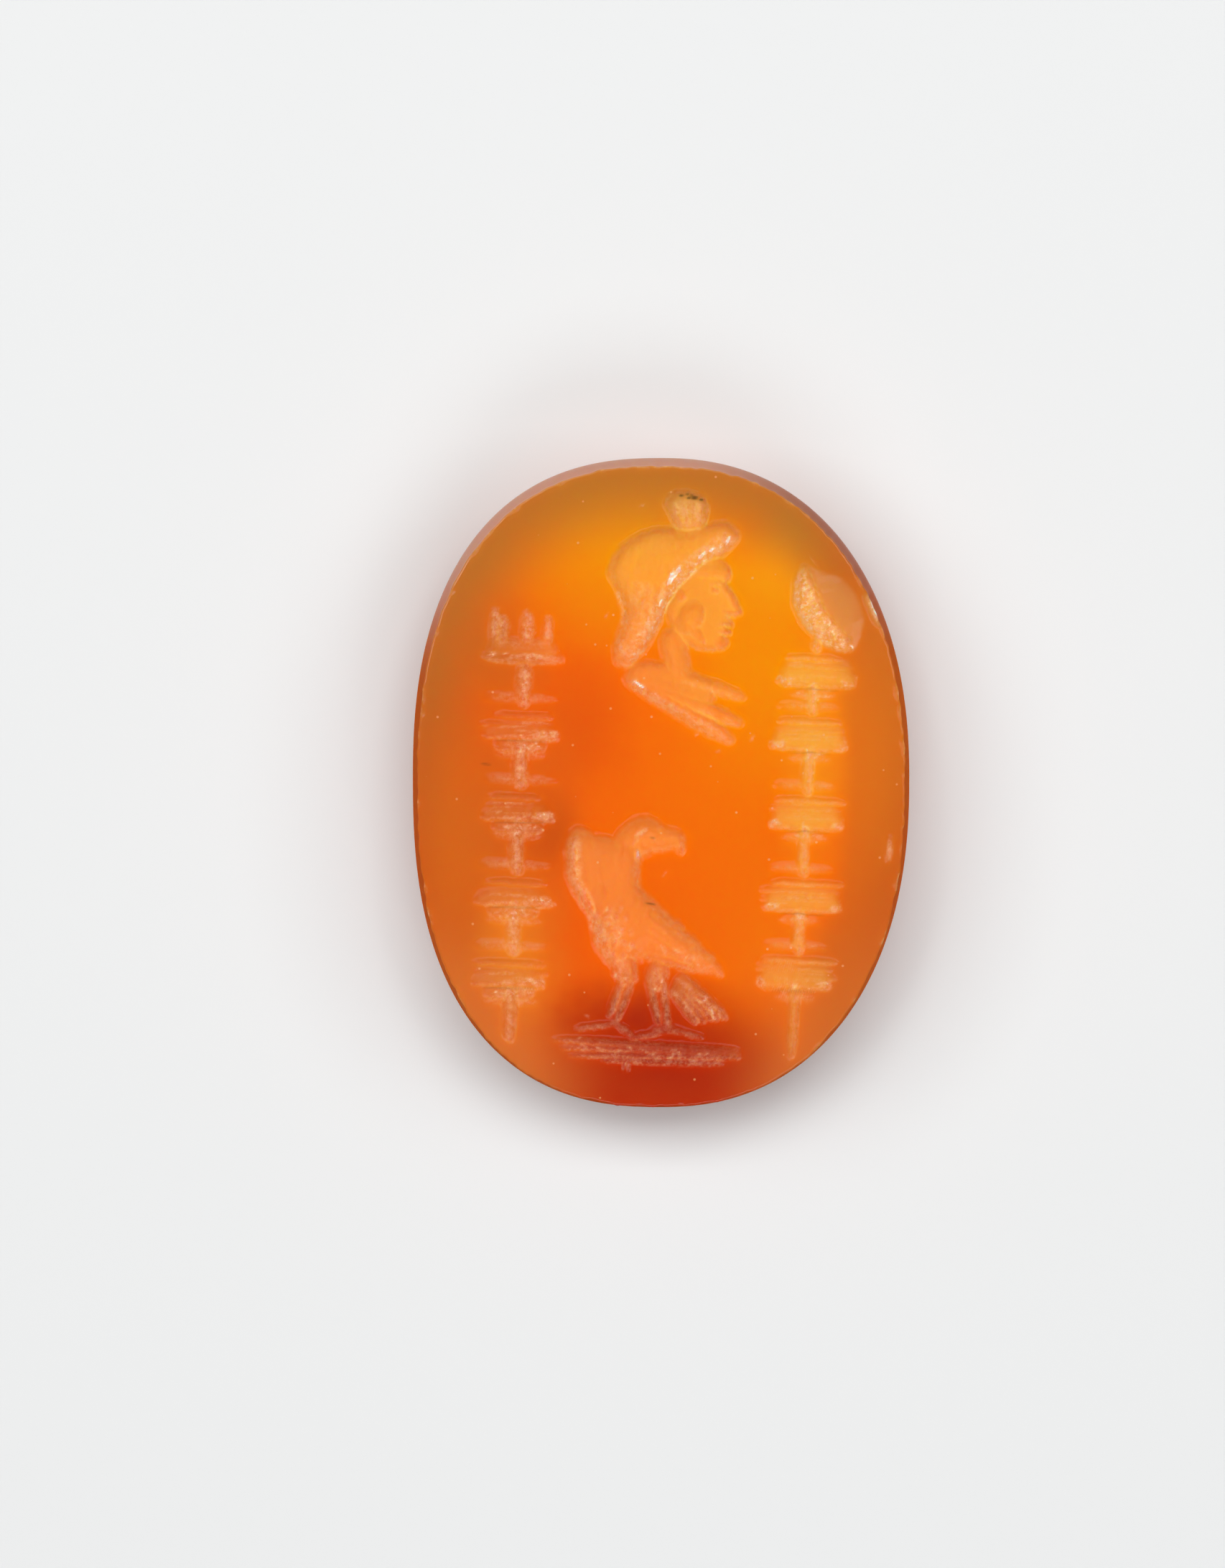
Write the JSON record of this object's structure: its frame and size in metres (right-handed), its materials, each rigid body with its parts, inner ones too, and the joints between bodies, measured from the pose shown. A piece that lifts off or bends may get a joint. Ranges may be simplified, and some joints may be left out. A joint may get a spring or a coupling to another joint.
{
  "type": "intaglio gem",
  "caption": "Oval ringstone with a flat back and sloping sides, its face engraved with a helmeted head over an eagle between two army standards.",
  "frame": {"origin": "centre of the flat back, at the bottom of the lying stone", "axes": "+Z out of the engraved face, +Y up the motif and along the oval, +X to the motif's right"},
  "size_m": [0.0106, 0.014, 0.0033],
  "materials": {
    "carnelian": "polished"
  },
  "bodies": {
    "root": {"engraved_carnelian": "carnelian"}
  },
  "joints": []
}
